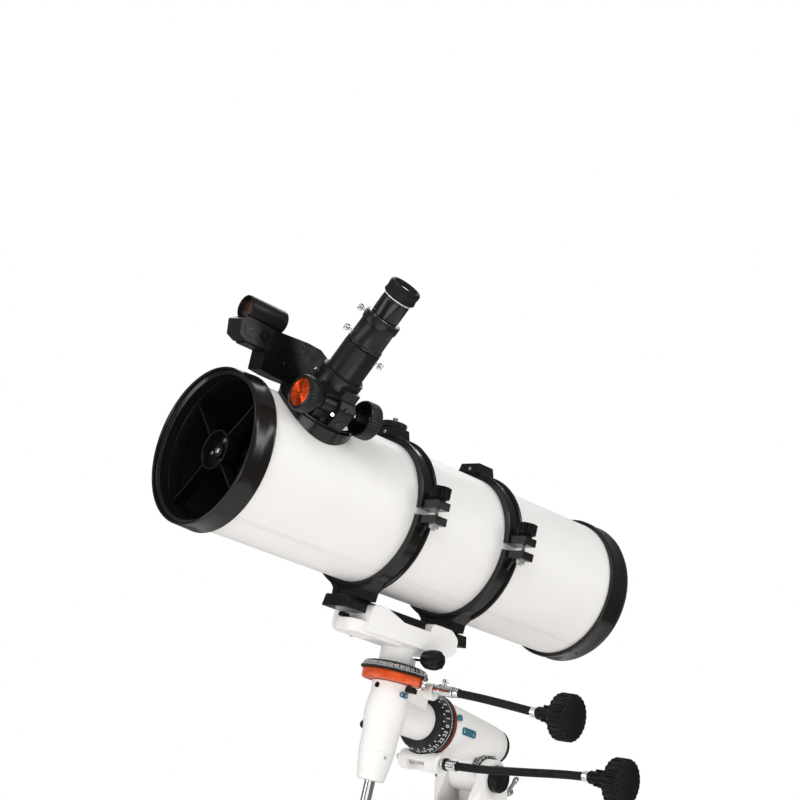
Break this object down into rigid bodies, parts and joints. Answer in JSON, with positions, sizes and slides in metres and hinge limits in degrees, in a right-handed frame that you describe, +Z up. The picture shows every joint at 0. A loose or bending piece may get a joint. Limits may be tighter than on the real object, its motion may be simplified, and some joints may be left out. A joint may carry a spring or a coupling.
{
  "type": "telescope on tripod",
  "caption": "Reflector telescope in split rings on an equatorial mount with slow-motion cables and a folding steel tripod.",
  "frame": {"origin": "on the floor, below the middle of the bounding box", "axes": "+Z up, the polar axis and the tube's open end point towards -Y and up, the eyepiece leans towards +X"},
  "size_m": [0.7682, 0.6707, 1.4579],
  "materials": {
    "white_paint": "glossy slightly warm white paint",
    "white_cast": "painted aluminium casting, glossy slightly warm white",
    "black_cast": "painted aluminium casting, gloss black",
    "black_paint": "gloss black paint",
    "black_gloss_plastic": "gloss black moulded plastic",
    "black_satin_metal": "satin black anodised",
    "black_rubber": "dull black rubber",
    "chrome": "bright chrome plate",
    "steel": "polished steel tube",
    "orange_anodised": "bright orange anodised",
    "mirror": "aluminised glass"
  },
  "bodies": {
    "tripod": {"tripod_head": "black_satin_metal"},
    "leg_a": {"upper_leg_a": "steel"},
    "lower_leg_a": {"lower_leg_a": "steel"},
    "leg_lock_a": {"leg_lock_knob_a": "black_gloss_plastic"},
    "brace_a": {"brace_a": "black_paint"},
    "leg_b": {"upper_leg_b": "steel"},
    "lower_leg_b": {"lower_leg_b": "steel"},
    "leg_lock_b": {"leg_lock_knob_b": "black_gloss_plastic"},
    "brace_b": {"brace_b": "black_paint"},
    "leg_c": {"upper_leg_c": "steel"},
    "lower_leg_c": {"lower_leg_c": "steel"},
    "leg_lock_c": {"leg_lock_knob_c": "black_gloss_plastic"},
    "brace_c": {"brace_c": "black_paint"},
    "tray": {"accessory_tray": "black_gloss_plastic"},
    "azimuth": {"azimuth_base": "white_cast", "latitude_pivot_bolt": "black_gloss_plastic"},
    "azimuth_lock": {"azimuth_lock_knob": "black_gloss_plastic"},
    "latitude_bolt_front": {"latitude_bolt_front": "steel"},
    "latitude_bolt_rear": {"latitude_bolt_rear": "steel"},
    "latitude": {"polar_housing": "white_cast", "polar_cap": "black_gloss_plastic", "ra_cable": "black_rubber"},
    "ra_worm": {"ra_worm": "chrome"},
    "ra_slow_knob": {"ra_slow_knob": "black_gloss_plastic"},
    "right_ascension": {"declination_housing": "white_cast", "polar_axle": "steel", "ra_setting_circle": "black_satin_metal", "counterweight_shaft": "chrome", "dec_cable": "black_rubber"},
    "ra_lock": {"ra_lock_lever": "black_gloss_plastic"},
    "dec_worm": {"dec_worm": "chrome"},
    "dec_slow_knob": {"dec_slow_knob": "black_gloss_plastic"},
    "counterweight": {"counterweight": "white_paint"},
    "counterweight_lock": {"counterweight_lock_knob": "black_gloss_plastic"},
    "declination": {"saddle": "white_cast", "dec_worm_wheel": "orange_anodised", "dec_setting_circle": "black_satin_metal"},
    "dec_lock": {"dec_lock_knob": "black_gloss_plastic"},
    "saddle_knob": {"saddle_knob": "black_gloss_plastic"},
    "dovetail": {"dovetail_bar": "black_cast", "ring_base_front": "black_cast", "ring_base_rear": "black_cast"},
    "ring_cap_front": {"ring_cap_front": "black_cast", "piggyback_disc": "black_gloss_plastic"},
    "ring_cap_rear": {"ring_cap_rear": "black_cast"},
    "ring_knob_front": {"ring_knob_front": "black_gloss_plastic"},
    "ring_knob_rear": {"ring_knob_rear": "black_gloss_plastic"},
    "tube": {"tube": "white_paint", "front_cell": "black_gloss_plastic", "spider": "black_gloss_plastic", "secondary_mirror": "mirror", "rear_cell": "black_gloss_plastic", "primary_mirror": "mirror", "focuser_base": "black_satin_metal", "finder_bracket": "black_gloss_plastic", "finder_tube": "black_gloss_plastic"},
    "drawtube": {"drawtube": "black_satin_metal", "eyepiece_adapter": "black_satin_metal"},
    "focus_knobs": {"focus_knobs": "black_satin_metal"},
    "eyepiece": {"eyepiece": "black_rubber"}
  },
  "joints": [
    {"name": "leg_a_fold", "type": "hinge", "parent": "tripod", "child": "leg_a", "pos_m": [0, 0.04087, 0.735], "axis": [1, 0, 0], "range_deg": [0, 22]},
    {"name": "leg_a_extend", "type": "slide", "parent": "leg_a", "child": "lower_leg_a", "axis": [0, -0.4384, -0.8988], "range_m": [-0.25, 0.03]},
    {"name": "leg_a_lock", "type": "hinge", "parent": "leg_a", "child": "leg_lock_a", "pos_m": [0, -0.13974, 0.3647], "axis": [0, -0.8988, 0.4384], "range_deg": [-180, 180]},
    {"name": "brace_a_fold", "type": "hinge", "parent": "leg_a", "child": "brace_a", "pos_m": [0, -0.09886, 0.39149], "axis": [1, 0, 0], "range_deg": [-75.47, 0.5]},
    {"name": "leg_b_fold", "type": "hinge", "parent": "tripod", "child": "leg_b", "pos_m": [0.05369, 0.13387, 0.735], "axis": [-0.5, 0.866, 0], "range_deg": [0, 22]},
    {"name": "leg_b_extend", "type": "slide", "parent": "leg_b", "child": "lower_leg_b", "axis": [0.3796, 0.2192, -0.8988], "range_m": [-0.25, 0.03]},
    {"name": "leg_b_lock", "type": "hinge", "parent": "leg_b", "child": "leg_lock_b", "pos_m": [0.2101, 0.22417, 0.3647], "axis": [0.7784, 0.4494, 0.4384], "range_deg": [-180, 180]},
    {"name": "brace_b_fold", "type": "hinge", "parent": "leg_b", "child": "brace_b", "pos_m": [0.1747, 0.20373, 0.39149], "axis": [-0.5, 0.866, 0], "range_deg": [-75.47, 0.5]},
    {"name": "leg_c_fold", "type": "hinge", "parent": "tripod", "child": "leg_c", "pos_m": [-0.05369, 0.13387, 0.735], "axis": [-0.5, -0.866, 0], "range_deg": [0, 22]},
    {"name": "leg_c_extend", "type": "slide", "parent": "leg_c", "child": "lower_leg_c", "axis": [-0.3796, 0.2192, -0.8988], "range_m": [-0.25, 0.03]},
    {"name": "leg_c_lock", "type": "hinge", "parent": "leg_c", "child": "leg_lock_c", "pos_m": [-0.2101, 0.22417, 0.3647], "axis": [-0.7784, 0.4494, 0.4384], "range_deg": [-180, 180]},
    {"name": "brace_c_fold", "type": "hinge", "parent": "leg_c", "child": "brace_c", "pos_m": [-0.1747, 0.20373, 0.39149], "axis": [-0.5, -0.866, 0], "range_deg": [-75.47, 0.5]},
    {"name": "tray_lift", "type": "slide", "parent": "tripod", "child": "tray", "axis": [0, 0, 1], "range_m": [-0.1213, 0.002]},
    {"name": "azimuth_turn", "type": "hinge", "parent": "tripod", "child": "azimuth", "pos_m": [0, 0.10287, 0.76], "axis": [0, 0, 1], "continuous": true},
    {"name": "azimuth_lock_turn", "type": "hinge", "parent": "azimuth", "child": "azimuth_lock", "pos_m": [0, 0.10287, 0.7823], "axis": [1, 0, 0], "range_deg": [-180, 180]},
    {"name": "latitude_tilt", "type": "hinge", "parent": "azimuth", "child": "latitude", "pos_m": [0, 0.10287, 0.87], "axis": [-1, 0, 0], "range_deg": [-6, 30]},
    {"name": "latitude_bolt_front_screw", "type": "slide", "parent": "azimuth", "child": "latitude_bolt_front", "axis": [0, -1, 0], "range_m": [-0.0048, 0.0234]},
    {"name": "latitude_bolt_rear_screw", "type": "slide", "parent": "azimuth", "child": "latitude_bolt_rear", "axis": [0, -1, 0], "range_m": [-0.0039, 0.0187]},
    {"name": "ra_slow_motion", "type": "hinge", "parent": "latitude", "child": "ra_slow_knob", "pos_m": [0.265, 0.00809, 0.91896], "axis": [1, 0, 0], "continuous": true},
    {"name": "ra_worm_turn", "type": "hinge", "parent": "latitude", "child": "ra_worm", "pos_m": [0, 0.0031, 0.90588], "axis": [1, 0, 0], "continuous": true},
    {"name": "right_ascension_turn", "type": "hinge", "parent": "latitude", "child": "right_ascension", "pos_m": [0, -0.06137, 0.97539], "axis": [0, -0.9345, 0.3561], "range_deg": [-62, 60]},
    {"name": "dec_slow_motion", "type": "hinge", "parent": "right_ascension", "child": "dec_slow_knob", "pos_m": [0.21, -0.01269, 0.9852], "axis": [1, 0, 0], "continuous": true},
    {"name": "dec_worm_turn", "type": "hinge", "parent": "right_ascension", "child": "dec_worm", "pos_m": [0, -0.00966, 0.99314], "axis": [1, 0, 0], "continuous": true},
    {"name": "ra_lock_turn", "type": "hinge", "parent": "right_ascension", "child": "ra_lock", "pos_m": [0, -0.06208, 0.97352], "axis": [-0.8517, 0.2493, -0.461], "range_deg": [-60, 60]},
    {"name": "counterweight_slide", "type": "slide", "parent": "right_ascension", "child": "counterweight", "axis": [0, 0.3561, 0.9345], "range_m": [-0.03, 0.1]},
    {"name": "counterweight_lock_turn", "type": "hinge", "parent": "counterweight", "child": "counterweight_lock", "pos_m": [0.06, -0.14434, 0.75766], "axis": [1, 0, 0], "range_deg": [-180, 180]},
    {"name": "declination_turn", "type": "hinge", "parent": "right_ascension", "child": "declination", "pos_m": [0, -0.06137, 0.97539], "axis": [0, 0.3561, 0.9345], "continuous": true},
    {"name": "dec_lock_turn", "type": "hinge", "parent": "declination", "child": "dec_lock", "pos_m": [0.04, -0.03929, 1.03333], "axis": [1, 0, 0], "range_deg": [-180, 180]},
    {"name": "saddle_knob_turn", "type": "hinge", "parent": "declination", "child": "saddle_knob", "pos_m": [-0.05487, -0.0501, 1.06035], "axis": [0.981, -0.1813, 0.0691], "range_deg": [-180, 180]},
    {"name": "dovetail_slide", "type": "slide", "parent": "declination", "child": "dovetail", "axis": [-0.1941, -0.9167, 0.3493], "range_m": [-0.02, 0.02]},
    {"name": "ring_front_open", "type": "hinge", "parent": "dovetail", "child": "ring_cap_front", "pos_m": [-0.10973, -0.04672, 1.18962], "axis": [-0.1941, -0.9167, 0.3493], "range_deg": [0, 85]},
    {"name": "ring_front_knob_turn", "type": "hinge", "parent": "ring_cap_front", "child": "ring_knob_front", "pos_m": [0.08794, -0.07614, 1.22223], "axis": [0, 0.3561, 0.9345], "range_deg": [-180, 180]},
    {"name": "ring_rear_open", "type": "hinge", "parent": "dovetail", "child": "ring_cap_rear", "pos_m": [-0.08289, 0.08006, 1.14131], "axis": [-0.1941, -0.9167, 0.3493], "range_deg": [0, 85]},
    {"name": "ring_rear_knob_turn", "type": "hinge", "parent": "ring_cap_rear", "child": "ring_knob_rear", "pos_m": [0.11478, 0.05064, 1.17392], "axis": [0, 0.3561, 0.9345], "range_deg": [-180, 180]},
    {"name": "tube_roll", "type": "hinge", "parent": "dovetail", "child": "tube", "pos_m": [0, 0.01177, 1.16733], "axis": [-0.1941, -0.9167, 0.3493], "range_deg": [-45, 45]},
    {"name": "focus", "type": "slide", "parent": "tube", "child": "drawtube", "axis": [0.5904, 0.1752, 0.7879], "range_m": [-0.02, 0.015]},
    {"name": "focus_knob_turn", "type": "hinge", "parent": "tube", "child": "focus_knobs", "pos_m": [0.04067, -0.19203, 1.31926], "axis": [-0.1941, -0.9167, 0.3493], "range_deg": [-240, 180]},
    {"name": "eyepiece_slide", "type": "slide", "parent": "drawtube", "child": "eyepiece", "axis": [0.5904, 0.1752, 0.7879], "range_m": [0, 0.035]}
  ],
  "couplings": [
    {"joint": "brace_a_fold", "follows": "leg_a_fold", "ratio": -3.4075},
    {"joint": "brace_b_fold", "follows": "leg_a_fold", "ratio": -3.4075},
    {"joint": "leg_b_fold", "follows": "leg_a_fold", "ratio": 1},
    {"joint": "brace_c_fold", "follows": "leg_a_fold", "ratio": -3.4075},
    {"joint": "leg_c_fold", "follows": "leg_a_fold", "ratio": 1},
    {"joint": "tray_lift", "follows": "leg_a_fold", "m_per_rad": -0.31069},
    {"joint": "latitude_bolt_front_screw", "follows": "latitude_tilt", "m_per_rad": 0.0443},
    {"joint": "latitude_bolt_rear_screw", "follows": "latitude_tilt", "m_per_rad": 0.0353},
    {"joint": "ra_worm_turn", "follows": "ra_slow_motion", "ratio": 1},
    {"joint": "dec_worm_turn", "follows": "dec_slow_motion", "ratio": 1},
    {"joint": "focus_knob_turn", "follows": "focus", "rad_per_m": 200}
  ]
}
